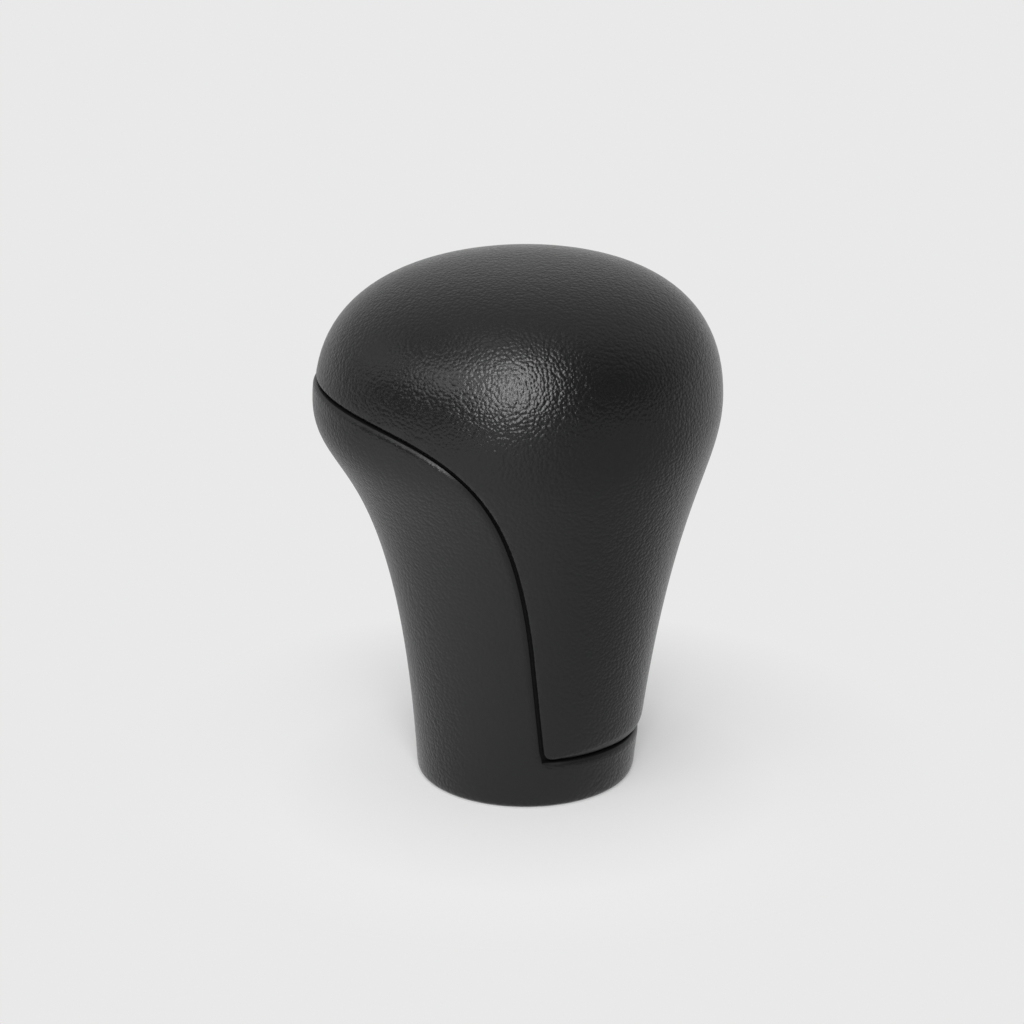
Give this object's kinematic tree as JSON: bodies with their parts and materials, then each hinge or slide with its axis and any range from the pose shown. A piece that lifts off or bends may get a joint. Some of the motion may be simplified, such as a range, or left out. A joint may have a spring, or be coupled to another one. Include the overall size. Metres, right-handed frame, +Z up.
{
  "type": "gear shift knob",
  "caption": "Pear-shaped manual gear shift knob: a grained cover over a front panel and collar, screwed to a core with a threaded brass insert for the lever.",
  "frame": {"origin": "centre of the collar's open recess, on the plane of the base", "axes": "+Z up along the gear lever's axis to the crown, -X towards the front panel, Y across the knob"},
  "size_m": [0.0603, 0.054, 0.08],
  "materials": {
    "grained_plastic": "moulded with a fine pebble grain, satin",
    "core_plastic": "smooth moulded, glass-filled",
    "insert_brass": "turned and knurled",
    "screw_steel": "bright zinc plated"
  },
  "bodies": {
    "root": {"grip_body": "grained_plastic", "top_cover": "grained_plastic", "core": "core_plastic", "lever_insert": "insert_brass", "body_screw_left": "screw_steel", "body_screw_right": "screw_steel", "cover_screw_left": "screw_steel", "cover_screw_right": "screw_steel"}
  },
  "joints": []
}
